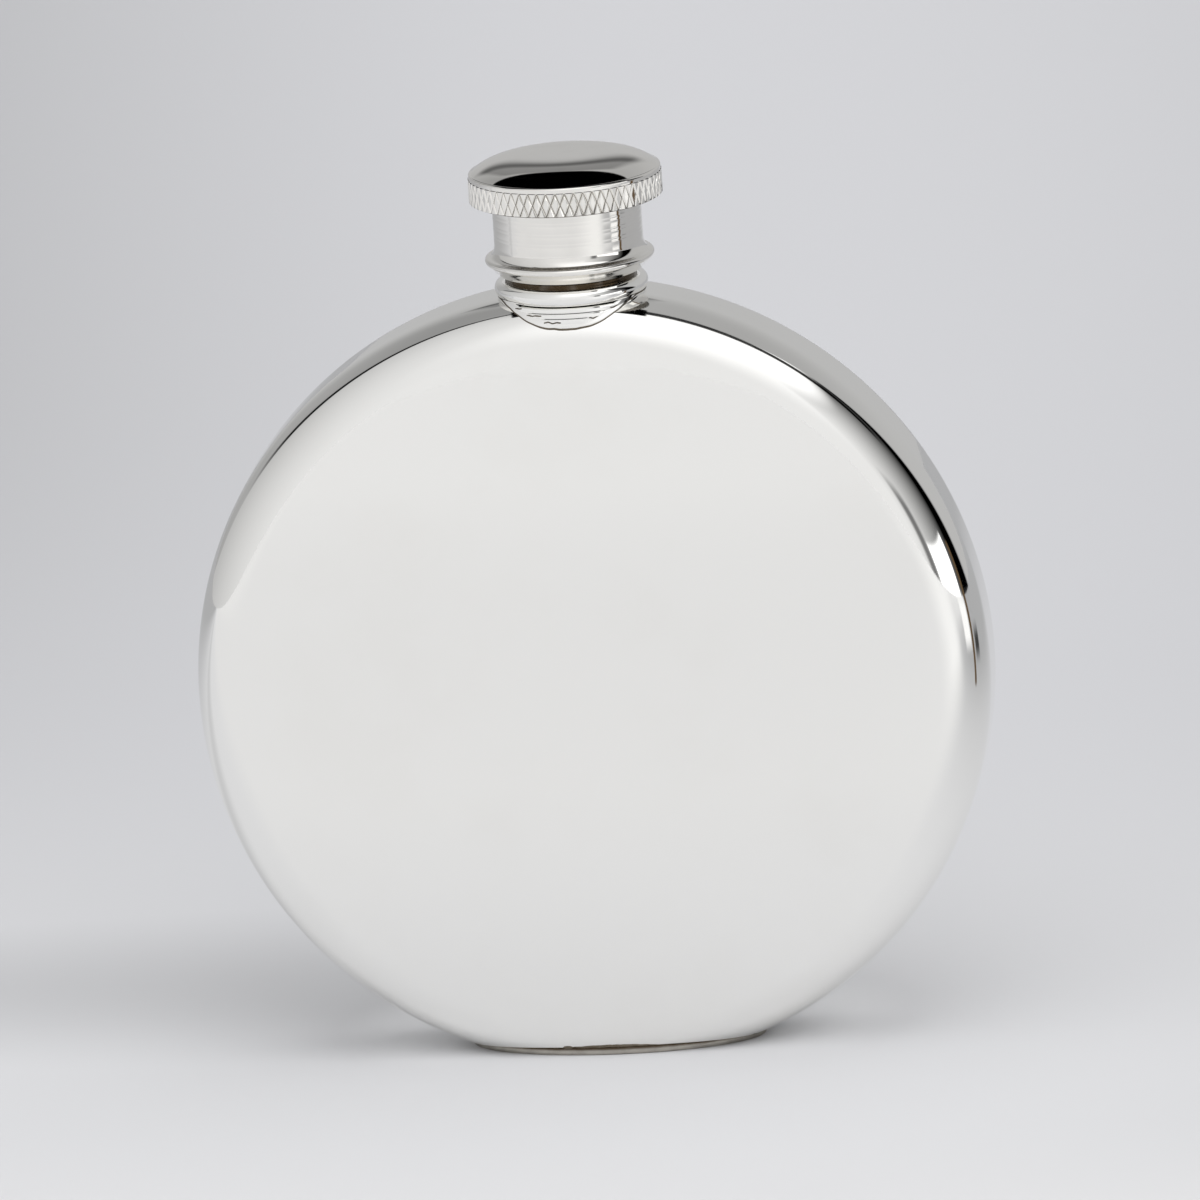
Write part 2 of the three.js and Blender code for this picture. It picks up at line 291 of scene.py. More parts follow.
def hangLamp(l):
    data = bpy.data.lights.new("softLamp", "SUN")
    data.energy, data.angle = l["strength"], math.radians(l["spread"])
    lamp = bpy.data.objects.new("softLamp", data)
    scene.collection.objects.link(lamp)
    lamp.rotation_euler = (-math.radians(l["lean"][0]), math.radians(l["lean"][1]), 0)
    lamp.visible_glossy = False   # it lights the paper, and the metal shows only the room
    lamp.visible_camera = False


hangLamp(softLamp)

# cards that only the metal sees: middle and half size in mm, tilt up from flat, turn about the upright,
# then tone, soft edge, height of the denser foot, cover above and at the foot
flagCards = {
    "overCap": ((-0.2, -8.2, 118.0), (13.8, 4.0), 0.0, 0.0, (grey(0.0), 0.0005, 0.0, 1.0, 1.0)),
    "behindCap": ((-7.0, 30.0, 138.5), (26.0, 16.5), 90.0, 0.0, (grey(0.0), 0.0078, 0.0058, 0.45, 0.76)),
    "darkCard": ((247.0, 52.0, 18.0), (30.0, 18.0), 90.0, 102.0, (grey(0.05), 0.016, 0.0, 1.0, 1.0)),
    "sideCard": ((300.0, -42.0, 32.0), (44.0, 32.0), 90.0, 82.0, (grey(1.05), 0.020, 0.0, 1.0, 1.0)),
    "standCard": ((200.0, 3.5, 46.0), (9.0, 46.0), 90.0, 91.0,
                  ((0.12, 0.08, 0.045, 1), 0.004, 0.0, 1.0, 1.0)),
}


def hangFlag(name, middle, half, tilt, turn, look):
    bm = bmesh.new()
    bmesh.ops.create_grid(bm, x_segments=1, y_segments=1, size=1)
    bmesh.ops.scale(bm, verts=bm.verts, vec=(half[0], half[1], 1))
    flag = makeObject(name, bm)
    flag.location = Vector(middle) * mm
    flag.rotation_euler = (math.radians(tilt), 0, math.radians(turn))
    flag.visible_camera = flag.visible_diffuse = flag.visible_shadow = False
    tone, soft, rise, top, low = look
    material, wire = startMaterial(name)
    x = wire.place().axis(0)
    y = x.other(1)
    wide, tall, fade = half[0] * mm, half[1] * mm, soft / 2
    cover = x.band(-wide + fade, wide - fade, fade) * y.band(-tall + fade, tall - fade, fade)
    if rise:
        cover = cover * (low - (low - top) * (y + tall).ease(soft, soft + rise))
    clear = wire.node("ShaderNodeBsdfTransparent")
    card = wire.node("ShaderNodeEmission", None, {"Color": tone})
    endMaterial(wire, wire.node("ShaderNodeMixShader", None, {0: cover, 1: clear, 2: card}))
    flag.data.materials.append(material)


for flagName, flagCard in flagCards.items():
    hangFlag(flagName, *flagCard)

# the floor's colour is painted with light and shade: lighter pools and darker shade stand in for how the
# light falls on it
tableTop = {
    "radius": 6000.0,
    "near": (0.69, 0.693, 0.708, 1),    # painted a little darker just in front of the foot, where the flask throws light down
    "front": (0.735, 0.735, 0.742, 1),  # painted lighter towards the camera, coming in over this distance in metres
    "frontFade": (0.03, 0.13),
    # painted lighter still, farther towards the camera
    "far": (0.775, 0.775, 0.778, 1),
    "farFade": (0.2, 0.9),
    # painted shade behind the flask
    "back": (0.62, 0.623, 0.644, 1),
    "backFade": (-0.02, 0.20),
    "under": (0.84, 0.845, 0.86, 1),    # painted light close in at the two ends of the foot, so its shadow stays soft
    "underMiddle": (0.022, 0.008),
    "underHalf": (0.013, 0.018),
    "bright": (0.90, 0.90, 0.90, 1),    # painted pool of light towards the camera, fanning out to the right from this far back
    "brightFrom": 0.06,
    "brightFan": (0.5, 1.35, 0.35),
    "brightFade": (0.05, 0.2),
    "dim": (0.40, 0.402, 0.412, 1),     # painted shade out to the sides, and behind on the left: across, then back
    "dimLeft": ((0, 0.2), (-0.05, 0.4)),
    "dimRight": ((0.01, 0.28), (-0.35, 0.0)),
    "shade": 0.42,                      # painted shadow: how far the floor beside the foot on the left goes to dim
    "shadeAcross": (0.0, 0.07),
    "shadeBack": (0.012, 0.058, 0.024),
    "poolMiddle": 0.02,
    "poolLean": 0.116,
}


def layTable(t):
    bm = bmesh.new()
    bmesh.ops.create_circle(bm, cap_ends=True, segments=96, radius=t["radius"])
    table = makeObject("tableTop", bm)
    material, wire = startMaterial("paperPaintedLightAndShade")
    x = wire.place().axis(0)
    y = x.other(1)
    front = 0 - y
    across = x + t["poolLean"] * y - t["poolMiddle"]
    # painted shade out to the sides and behind on the left, and a painted shadow beside the foot on the
    # left
    paintedShadeLeft = (0 - across).ease(*t["dimLeft"][0]) * y.ease(*t["dimLeft"][1])
    paintedShadeRight = across.ease(*t["dimRight"][0]) * y.ease(*t["dimRight"][1])
    paintedLeftShadow = (0 - across).ease(*t["shadeAcross"]) * y.band(*t["shadeBack"]) * t["shade"]
    # painted light and shade: darker just in front of the foot, lighter towards the camera, darker behind
    colour = front.ease(*t["frontFade"]).blend(t["near"], t["front"])
    colour = front.ease(*t["farFade"]).blend(colour, t["far"])
    colour = y.ease(*t["backFade"]).blend(colour, t["back"])
    colour = paintedShadeLeft.larger(paintedLeftShadow).larger(paintedShadeRight).blend(colour, t["dim"])
    # painted pool of light towards the camera, fanning out to the right
    fan = x / (t["brightFrom"] + front.larger(0.0))
    bright = fan.band(*t["brightFan"]) * front.ease(*t["brightFade"])
    colour = bright.blend(colour, t["bright"])
    # painted light around the two ends of the foot, lifting its shadow
    (middleX, middleY), (halfX, halfY) = t["underMiddle"], t["underHalf"]
    close = (((x.size() - middleX) / halfX) ** 2.0 + ((y - middleY) / halfY) ** 2.0) ** 0.5
    colour = close.ease(0.3, 1.2).blend(t["under"], colour)
    paper = wire.node("ShaderNodeBsdfPrincipled", None,
                      {"Base Color": colour, "Roughness": 0.9, "Specular IOR Level": 0.1})
    endMaterial(wire, paper)
    table.data.materials.append(material)


layTable(tableTop)
print("studio lit")


# finishes

pewterLook = {
    "tone": (0.955, 0.950, 0.928, 1),
    "dull": (0.930, 0.922, 0.895, 1),
    "roughness": 0.035,
    "haze": 0.03,
    "ripple": 6e-6,
    "vein": (0.05, 0.038, 0.025, 1),   # solder that ran on the collar, up to these heights
    "veinTop": (0.0952, 0.0966),
}


def polishedPewter(p):
    material, wire = startMaterial("polishedPewter")
    place = wire.place()
    worn = place.grain(60, 4, 0.55).ease(0.45, 0.75)
    stretched = wire.node("ShaderNodeMapping", None,
                          {"Vector": place, "Rotation": (0.3, 0.5, 0.2), "Scale": (1, 1, 14)})
    rubbed = stretched.grain(400, 3, 0.6).ease(0.58, 0.75)   # fine wisps from the buff
    colour = (worn * 0.6).blend(p["tone"], p["dull"])
    roughness = p["roughness"] + p["haze"] * worn + 0.02 * rubbed
    endMaterial(wire, wire.metal(colour, roughness, place.grain(85, 1).bump(p["ripple"])))
    return material


def solderedCollar(p):
    material, wire = startMaterial("solderedCollar")
    place = wire.place()
    flow = wire.node("ShaderNodeMapping", None, {"Vector": place, "Scale": (1, 1, 2.2)})
    run = flow.grain(260, 3, 0.6)
    vein = 1 - (run - 0.5).size().ease(0.02, 0.055)
    vein = vein * place.grain(90, 2).ease(0.38, 0.5) * (1 - place.axis(2).ease(*p["veinTop"]))
    colour = (vein * 0.95).blend(p["tone"], p["vein"])
    endMaterial(wire, wire.metal(colour, p["roughness"] + 0.3 * vein, run.bump(1.5e-5)))
    return material


capLook = {
    "tone": (0.905, 0.89, 0.855, 1),
    "dull": (0.84, 0.825, 0.79, 1),
    "roughness": 0.045,
    "ringDepth": 1.5e-6,
}


def turnedCapPewter(c):
    material, wire = startMaterial("turnedCapPewter")
    place = wire.place()
    rings = wire.node("ShaderNodeTexNoise", {"noise_dimensions": "1D"},
                      {"W": place.axis(2), "Scale": 2600, "Detail": 3})   # tool marks of the lathe
    colour = (place.grain(300, 3).ease(0.4, 0.8) * 0.5).blend(c["tone"], c["dull"])
    roughness = c["roughness"] + 0.05 * rings.ease(0.5, 0.8)
    endMaterial(wire, wire.metal(colour, roughness, rings.bump(c["ringDepth"])))
    return material


# tone, roughness, and the heights of a band painted dark as shade: in the groove under the cap's flange on
# the neck, and along the top of the base plate under the body
satinLooks = {
    "basePewter": ((0.52, 0.49, 0.44, 1), 0.14, (0.00066, 0.0013)),
    "threadPewter": ((0.80, 0.79, 0.76, 1), 0.22, None),
    "neckPewter": ((0.80, 0.79, 0.76, 1), 0.22, (0.0982, 0.0996)),
    # painted shade for the knurl's grooves and the underside of the head
    "paintedGrooveShade": ((0.22, 0.205, 0.185, 1), 0.2, None),
    "solderMetal": ((0.15, 0.125, 0.095, 1), 0.22, None),
}
# colour of the painted shade bands
paintedShadeColour = (0.07, 0.05, 0.03, 1)


def satinPewter(name):
    tone, roughness, shadeHeights = satinLooks[name]
    material, wire = startMaterial(name)
    place = wire.place()
    cloud = place.grain(500, 5)
    colour = cloud.ease(0.35, 0.7).blend(tone, tuple(0.8 * v for v in tone[:3]) + (1,))
    if shadeHeights:
        # painted shade: a dark band between the given heights, mottled by the cloud
        paintedShadeBand = place.axis(2).band(*shadeHeights, 0.0002) * (0.75 + 0.5 * cloud)
        colour = paintedShadeBand.blend(colour, paintedShadeColour)
    endMaterial(wire, wire.metal(colour, roughness + 0.12 * cloud.ease(0.4, 0.7), cloud.bump(2e-5)))
    return material


rubberLook = {
    "tone": (0.62, 0.57, 0.47, 1),
    "dark": (0.50, 0.45, 0.36, 1),
    "roughness": 0.6,
}


def sealRubber(r):
    material, wire = startMaterial("sealRubber")
    grain = wire.place().grain(900, 4)
    rubber = wire.node("ShaderNodeBsdfPrincipled", None, {
        "Base Color": grain.ease(0.3, 0.75).blend(r["tone"], r["dark"]),
        "Roughness": r["roughness"] + 0.2 * grain,
        "Normal": grain.bump(4e-5, 0.4),
    })
    endMaterial(wire, rubber)
    return material


bodyPewter = polishedPewter(pewterLook)
collarPewter = solderedCollar(pewterLook)
capPewter = turnedCapPewter(capLook)
basePewter = satinPewter("basePewter")
threadPewter = satinPewter("threadPewter")
neckPewter = satinPewter("neckPewter")
paintedGrooveShade = satinPewter("paintedGrooveShade")
solderMetal = satinPewter("solderMetal")
linerRubber = sealRubber(rubberLook)
print("finishes mixed")


# shared modelling steps

def arcPoints(centre, radii, start, end, steps):
    points = []
    for i in range(steps + 1):
        angle = math.radians(start + (end - start) * i / steps)
        points.append((centre[0] + radii[0] * math.cos(angle), centre[1] + radii[1] * math.sin(angle)))
    return points


def raised(points, height):
    return [(r, h + height) for r, h in points]


def spinProfile(points, steps, axis="Z", closed=True):
    bm = bmesh.new()
    place = (lambda r, h: (r, 0, h)) if axis == "Z" else (lambda r, h: (r, h, 0))
    corners = [bm.verts.new(place(r, h)) for r, h in points]
    pairs = list(zip(corners, corners[1:])) + ([(corners[-1], corners[0])] if closed else [])
    edges = [bm.edges.new(pair) for pair in pairs]
    bmesh.ops.spin(bm, geom=corners + edges, cent=(0, 0, 0), axis=(0, 0, 1) if axis == "Z" else (0, 1, 0),
                   angle=math.tau, steps=steps, use_merge=True)
    bmesh.ops.remove_doubles(bm, verts=bm.verts, dist=1e-5)
    bmesh.ops.dissolve_degenerate(bm, edges=bm.edges, dist=1e-6)
    bmesh.ops.recalc_face_normals(bm, faces=bm.faces)
    return bm


def sweepSection(bm, section, angle, steps, rise=0.0):
    corners = [bm.verts.new((r, 0, h)) for r, h in section]
    edges = [bm.edges.new(pair) for pair in zip(corners, corners[1:] + corners[:1])]
    bmesh.ops.spin(bm, geom=corners + edges, cent=(0, 0, 0), axis=(0, 0, 1), dvec=(0, 0, rise),
                   angle=angle, steps=steps)


def threadRidge(root, crest):
    return [(root, -0.46), (crest, -0.14), (crest, 0.14), (root, 0.46)]


def windThread(bm, points, start, turns, pitch, perTurn=72):
    before = set(bm.faces)
    steps = int(turns * perTurn)
    sweepSection(bm, raised(points, start), math.tau * steps / perTurn, steps, pitch / perTurn)
    bmesh.ops.holes_fill(bm, edges=[edge for edge in bm.edges if edge.is_boundary])   # closes both ends
    bmesh.ops.recalc_face_normals(bm, faces=[face for face in bm.faces if face not in before])


def carve(piece, cutter):
    cut = piece.modifiers.new("carve", "BOOLEAN")
    cut.operation, cut.solver, cut.object = "DIFFERENCE", "EXACT", cutter
    carved = bpy.data.meshes.new_from_object(piece.evaluated_get(bpy.context.evaluated_depsgraph_get()))
    carved.name = piece.name
    piece.modifiers.clear()
    piece.data = carved
    bpy.data.objects.remove(cutter)


def fitPiece(piece, body, finish, node=None, sharp=32):
    piece.data.materials.clear()
    piece.data.materials.append(finish)
    piece.data.polygons.foreach_set("use_smooth", [True] * len(piece.data.polygons))
    piece.data.set_sharp_from_angle(angle=math.radians(sharp))
    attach(piece, body)
    if node:
        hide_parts(node)
    print("  ", piece.name, len(piece.data.polygons), "faces")


# body: two dished shells, rim to rim, cut flat at the bottom

bodyShape = {
    "radius": 50.0,
    "rimHalfWidth": 2.9,
    "edgeRadius": 6.6,
    "crownTilt": 6.59,
    "wall": 1.2,
    "centreZ": 47.5,
    "cutZ": 1.1,
    "neckHole": 7.2,
    "steps": 288,
}


def shellOutline(b, offset, edgeSteps, crownSteps):
    edge = arcPoints((b["radius"] - b["edgeRadius"], b["rimHalfWidth"]), (b["edgeRadius"] + offset,) * 2,
                     0, 90 - b["crownTilt"], edgeSteps)
    reach, rise = edge[-1]
    crown = reach / math.sin(math.radians(b["crownTilt"]))
    centre = rise - crown * math.cos(math.radians(b["crownTilt"]))
    face = arcPoints((0, centre), (crown, crown), 90 - b["crownTilt"], 90, crownSteps)
    return [(b["radius"] + offset, 0)] + edge + face[1:-1] + [(0, centre + crown)]


def neckCutter(radius, low, high):
    bm = bmesh.new()
    bmesh.ops.create_cone(bm, cap_ends=True, segments=96, radius1=radius, radius2=radius, depth=high - low)
    bmesh.ops.translate(bm, verts=bm.verts, vec=(0, 0, (low + high) / 2))
    return makeObject("neckCutter", bm)


def pressShell(name, b, side):
    outside = shellOutline(b, 0, 26, 26)
    inside = shellOutline(b, -b["wall"], 10, 8)[::-1]
    bm = spinProfile([(r, h * side) for r, h in outside + inside], b["steps"], "Y")
    bmesh.ops.translate(bm, verts=bm.verts, vec=(0, 0, b["centreZ"]))
    cut = bmesh.ops.bisect_plane(bm, geom=bm.verts[:] + bm.edges[:] + bm.faces[:], dist=1e-5,
                                 plane_co=(0, 0, b["cutZ"]), plane_no=(0, 0, -1), clear_outer=True)
    rim = [item for item in cut["geom_cut"] if isinstance(item, bmesh.types.BMEdge)]
    bmesh.ops.triangle_fill(bm, edges=rim, use_beauty=True)
    bmesh.ops.recalc_face_normals(bm, faces=bm.faces)
    shell = makeObject(name, bm)
    carve(shell, neckCutter(b["neckHole"], b["centreZ"], b["centreZ"] + b["radius"] + 5))
    return shell


fitPiece(pressShell("frontShell", bodyShape, -1), "flask", bodyPewter, "front_shell")
fitPiece(pressShell("backShell", bodyShape, 1), "flask", bodyPewter, "back_shell")
print("shells pressed")


# base: an oval plate under the cut, with the solder that holds it

basePlate = {
    "halfWidth": 18.63,
    "halfDepth": 8.93,
    "thickness": 1.1,
    "rounding": 0.3,
    "filed": 0.035,     # filed by hand, so the edge isn't quite true
}


def cutBasePlate(p):
    bm = bmesh.new()
    bmesh.ops.create_circle(bm, cap_ends=True, segments=180, radius=1)
    bmesh.ops.scale(bm, verts=bm.verts, vec=(p["halfWidth"], p["halfDepth"], 1))
    lifted = bmesh.ops.extrude_face_region(bm, geom=bm.faces[:])["geom"]
    bmesh.ops.translate(bm, verts=[item for item in lifted if isinstance(item, bmesh.types.BMVert)],
                        vec=(0, 0, p["thickness"]))
    bmesh.ops.recalc_face_normals(bm, faces=bm.faces)
    rims = [e for e in bm.edges if abs(e.verts[0].co.z - e.verts[1].co.z) < 1e-6]
    bmesh.ops.bevel(bm, geom=rims, offset=p["rounding"], segments=3, profile=0.5, affect="EDGES",
                    material=-1)
    for v in bm.verts:
        out = p["filed"] * noise.noise(Vector((v.co.x * 0.45, v.co.y * 0.45, 3.0))) - 0.02
        v.co.x += out * v.co.x / p["halfWidth"]
        v.co.y += out * v.co.y / p["halfDepth"]
    return makeObject("basePlate", bm)


baseSeam = {
    "thick": 0.16,
    "inset": 0.12,
    "lumps": (0.10, 0.05),     # broad and fine unevenness
    "beads": ((-5.6, 0.75, 0.34), (9.4, 0.9, 0.2)),   # solder that ran proud: where, how wide and how high
}


def runBaseSolder(b, p):
    thick = b["thick"]
    ring = arcPoints((p["halfDepth"] - b["inset"], p["thickness"]), (thick * 1.3, thick), 0, 315, 7)
    bm = spinProfile(ring, 360)
    bmesh.ops.scale(bm, verts=bm.verts, vec=(p["halfWidth"] / p["halfDepth"], 1, 1))
    for v in bm.verts:
        lump = noise.noise(Vector((v.co.x * 0.9, v.co.y * 0.9, 7.0)))
        fine = noise.noise(Vector((v.co.x * 4.0, v.co.y * 4.0, 1.0)))
        v.co.z += b["lumps"][0] * lump + b["lumps"][1] * fine
    for x, width, height in b["beads"]:
        depth = p["halfDepth"] * math.sqrt(1 - (x / p["halfWidth"]) ** 2)
        spot = Matrix.Translation((x, -depth + 0.05, p["thickness"] + 0.05))
        bmesh.ops.create_icosphere(bm, subdivisions=3, radius=1,
                                   matrix=spot @ Matrix.Diagonal((width, 0.3, height, 1)))
    return makeObject("baseSolder", bm)


fitPiece(cutBasePlate(basePlate), "flask", basePewter, "base_plate", 50)
fitPiece(runBaseSolder(baseSeam, basePlate), "flask", solderMetal, None, 60)
print("base soldered on")


# neck: a collar with a bead and stepped rings, saddled on the rim, and a threaded tube in it

collarShape = {
    "bore": 7.8,
    "foot": 8.8,
    "drop": 6.0,
    "seatRise": 1.2,
    "beadRadius": 9.65,
    "beadRounding": 1.1,
    "ringCount": 4,
    "ringHeight": 0.7,
    "ringStep": 0.13,
    "ringRound": 0.12,
    "ringGroove": 0.4,
    "creviceHigh": 0.12,
    "steps": 192,
}
bodyTop = bodyShape["centreZ"] + bodyShape["radius"]


def turnCollar(c):
    beadCentre = c["seatRise"] - c["beadRounding"]
    below = beadCentre - c["beadRounding"]
    rounding, crevice = c["ringRound"], c["creviceHigh"]
    points = [(c["bore"], -c["drop"])]
    for i in range(c["ringCount"] - 1, -1, -1):
        radius = c["foot"] + (c["ringCount"] - 1 - i) * c["ringStep"]
        top = below - i * c["ringHeight"]
        bottom = -c["drop"] if i == c["ringCount"] - 1 else top - c["ringHeight"]
        points.append((radius, bottom))
        points += arcPoints((radius - rounding, top - rounding - crevice), (rounding, rounding), 0, 90, 3)
        points.append((radius - c["ringGroove"], top - crevice / 2))
    bead = c["beadRounding"]
    points += arcPoints((c["beadRadius"] - bead, beadCentre), (bead, bead), -90, 84, 20)
    points.append((c["bore"] + 0.15, c["seatRise"]))
    points.append((c["bore"], c["seatRise"] - 0.15))
    collar = makeObject("neckCollar", spinProfile(raised(points, bodyTop), c["steps"]))
    blank = shellOutline(bodyShape, 0.05, 26, 8)
    blank = [(r, -h) for r, h in blank[::-1]] + blank[1:]
    bm = spinProfile(blank, bodyShape["steps"], "Y", False)
    bmesh.ops.translate(bm, verts=bm.verts, vec=(0, 0, bodyShape["centreZ"]))
    carve(collar, makeObject("bodyBlank", bm))
    return collar


def saddleHeight(b, x, y):   # top of the body under a point of the collar
    fall = min(max(abs(y) - b["rimHalfWidth"], 0), b["edgeRadius"])
    reach = b["radius"] - b["edgeRadius"] + math.sqrt(b["edgeRadius"] ** 2 - fall ** 2)
    return b["centreZ"] + math.sqrt(reach ** 2 - x ** 2)


def ringRadius(c, height):
    ring = (c["seatRise"] - 2 * c["beadRounding"] - height) / c["ringHeight"]
    return c["foot"] + c["ringStep"] * (c["ringCount"] - 1 - min(max(ring, 0), c["ringCount"] - 1))


# section across: 0 at the collar, 1 at the fillet's edge and mm beyond it, then height in mm
neckFillet = {
    "section": ((-0.2, -0.3), (1, -0.12), (1, 0), (0.66, 0.06), (0.33, 0.2), (0, 0.5), (-0.2, 0.5)),
    "front": 0.02,
    "corner": 0.38,       # widest between front and side
    "lumps": 0.05,
    "steps": 240,
}


def layOnSaddle(f, foot, section):
    bm = spinProfile([(foot + across, height) for across, height in section], f["steps"])
    for v in bm.verts:
        out = math.hypot(v.co.x, v.co.y)
        x, y = v.co.x / out, v.co.y / out
        radius = foot
        for _ in range(3):   # the ring it lies against depends on how low it is
            radius = ringRadius(collarShape, saddleHeight(bodyShape, radius * x, radius * y) - bodyTop)
        across = out - foot
        width = f["front"] + f["corner"] * 8 * x ** 2 * y ** 4
        lump = noise.noise(Vector((x * 9, y * 9, 9.0)))
        radius += min(across, 1) * width + max(across - 1, 0) + f["lumps"] * lump
        v.co = (radius * x, radius * y, saddleHeight(bodyShape, radius * x, radius * y) + v.co.z)
    return bm


def runFillet(f, foot):
    return makeObject("neckFillet", layOnSaddle(f, foot, f["section"]))


neckSeam = {
    "thick": 0.06,
    "runs": ((-1.35, 9.21, -50, 12), (-2.1, 9.09, -35, 15), (-2.9, 8.96, -18, 14),
             (-2.5, 8.97, 19, 10), (-1.5, 9.21, 37, 13)),   # height, radius, start and sweep in degrees
    "runRadii": (0.07, 0.09),
    "runWaver": 0.22,
}


def runNeckSolder(n, foot):
    thick = n["thick"]
    bm = layOnSaddle(neckFillet, foot, arcPoints((1 + thick, 0), (thick, thick), 0, 300, 5))
    for height, radius, start, sweep in n["runs"]:
        before = set(bm.verts)
        section = arcPoints((radius, bodyTop + height), n["runRadii"], 0, 300, 5)
        sweepSection(bm, section, math.radians(sweep), 24)
        made = [v for v in bm.verts if v not in before]
        turn = Matrix.Rotation(math.radians(start - 90), 3, "Z")   # start counts from the front
        bmesh.ops.rotate(bm, verts=made, cent=(0, 0, 0), matrix=turn)
        for v in made:
            v.co.z += n["runWaver"] * noise.noise(Vector((v.co.x * 1.3, v.co.y * 1.3, 4.0)))
    bmesh.ops.holes_fill(bm, edges=bm.edges)
    bmesh.ops.recalc_face_normals(bm, faces=bm.faces)
    return makeObject("neckSolder", bm)


tubeShape = {
    "bore": 6.3,
    "radius": 7.7,
    "root": 7.15,
    "bottom": -5.0,
    "shoulderRadius": 8.35,
    "shoulderTop": 1.75,
    "shoulderRound": 0.15,
    "lipTop": 10.5,
    "lipOutside": 0.4,     # rounding of the lip, outside and in the bore
    "lipInside": 0.3,
    "pitch": 1.5,
    "threadStart": 2.75,
    "threadTurns": 4.3,
    "threadCrest": 7.65,
    "steps": 192,
}


def turnNeckTube(t, seat):
    shoulder, outside, inside = t["shoulderRound"], t["lipOutside"], t["lipInside"]
    points = [(t["bore"], t["bottom"]), (t["radius"], t["bottom"]),
              (t["radius"], seat), (t["shoulderRadius"] - 0.1, seat)]
    points += arcPoints((t["shoulderRadius"] - shoulder, t["shoulderTop"] - shoulder),
                        (shoulder, shoulder), 0, 90, 4)
    points += [(t["root"] + 0.2, t["shoulderTop"]), (t["root"], t["shoulderTop"] + 0.2)]
    points += arcPoints((t["root"] - outside, t["lipTop"] - outside), (outside, outside), 0, 90, 6)
    points += arcPoints((t["bore"] + inside, t["lipTop"] - inside), (inside, inside), 90, 180, 5)
    bm = spinProfile(raised(points, bodyTop), t["steps"])
    ridge = threadRidge(t["root"] - 0.1, t["threadCrest"])
    windThread(bm, ridge, bodyTop + t["threadStart"], t["threadTurns"], t["pitch"])
    return makeObject("neckTube", bm)


collarFoot = collarShape["foot"]
fitPiece(turnCollar(collarShape), "flask", collarPewter, "neck_collar", 24)
fitPiece(runFillet(neckFillet, collarFoot), "flask", collarPewter, None, 60)
fitPiece(runNeckSolder(neckSeam, collarFoot), "flask", solderMetal, None, 60)
fitPiece(turnNeckTube(tubeShape, collarShape["seatRise"]), "flask", neckPewter, "neck_tube")
print("neck fitted")


# cap: flanged skirt, threaded bush, knurled domed head and a loose seal

skirtShape = {
    "foot": 99.45,
    "top": 109.65,
    "radius": 9.35,
    "bore": 8.7,
    "ledge": 8.35,
    "ledgeThick": 0.5,
    "flangeRadius": 10.62,
    "flangeRise": 1.75,
    "flangeRound": 0.45,
    "coveHeight": 1.55,
    "footInset": 0.35,
    "lines": (5.0, 6.3, 7.7),   # turned in pairs
    "lineApart": 0.22,
    "lineHalf": 0.07,
    "lineDepth": 0.009,
    "steps": 192,
}


def turnSkirt(s):
    edge = s["flangeRadius"] - s["flangeRound"]
    top = s["flangeRise"] + s["flangeRound"]
    points = [(s["ledge"], 0.1), (s["ledge"] + 0.1, 0), (s["radius"] - s["footInset"], 0)]
    points += arcPoints((edge, s["flangeRise"]), (s["flangeRound"],) * 2, -70, 90, 12)
    outside, cove, high = s["radius"], s["coveHeight"], s["top"] - s["foot"]
    points += arcPoints((edge, top + cove), (edge - outside, cove), 270, 180, 14)[1:]
    for height in s["lines"]:
        for line in (height - s["lineApart"], height + s["lineApart"]):
            points += [(outside, line - s["lineHalf"]), (outside - s["lineDepth"], line),
                       (outside, line + s["lineHalf"])]
    points += [(outside, high), (s["bore"], high),
               (s["bore"], s["ledgeThick"]), (s["ledge"], s["ledgeThick"])]
    return makeObject("capSkirt", spinProfile(raised(points, s["foot"]), s["steps"]))


bushShape = {
    "bore": 7.9,
    "radius": 8.6,
    "top": 107.8,
    "bevel": 0.2,
    "threadCrest": 7.4,
    "steps": 192,
}


def turnBush(b, low, t):
    high, bore, outside, bevel = b["top"], b["bore"], b["radius"], b["bevel"]
    points = [(bore + bevel, low), (outside, low), (outside, high), (bore + bevel, high),
              (bore, high - bevel), (bore, low + bevel)]
    bm = spinProfile(points, b["steps"])
    start = bodyTop + t["threadStart"] + t["pitch"] / 2   # half a pitch off the neck's thread
    windThread(bm, threadRidge(bore + 0.1, b["threadCrest"]), start, t["threadTurns"], t["pitch"])
    return makeObject("capThreadBush", bm)


sealShape = {
    "radius": 8.4,
    "bottom": 108.0,
    "thick": 1.5,
    "bevel": 0.15,
    "dish": 0.12,          # hollow in the middle, and its radius
    "dishRadius": 5.6,
    "steps": 128,
}


def cutSeal(s):
    low, high = s["bottom"], s["bottom"] + s["thick"]
    radius, bevel, hollow = s["radius"], s["bevel"], s["bottom"] + s["dish"]
    points = [(0, hollow), (s["dishRadius"], hollow), (s["dishRadius"] + 0.2, low),
              (radius - bevel, low), (radius, low + bevel),
              (radius, high - bevel), (radius - bevel, high), (0, high)]
    return makeObject("capSeal", spinProfile(points, s["steps"], "Z", False))


headShape = {
    "radius": 12.15,
    "bottom": 108.65,
    "recessTop": 109.75,
    "recessRadius": 9.45,
    "rimTop": 112.45,
    "rimRound": 0.3,
    "rimInset": 0.1,
    "domeHeight": 1.94,
    "domePower": 4.8,      # flat in the middle, falling faster to the edge
    "domeSteps": 40,
    "knurlTop": 111.75,
    "knurlCount": 64,
    "knurlDepth": 0.2,
    "knurlGroove": 0.06,
    "knurlLow": 0.18,      # plain edge left under and over the diamonds
    "knurlHigh": 0.04,
    "knurlSlopes": ((0.14, 0.65), (0.16, 0.35)),   # how far in each slope goes, and its share of the depth
    "steps": 256,
}


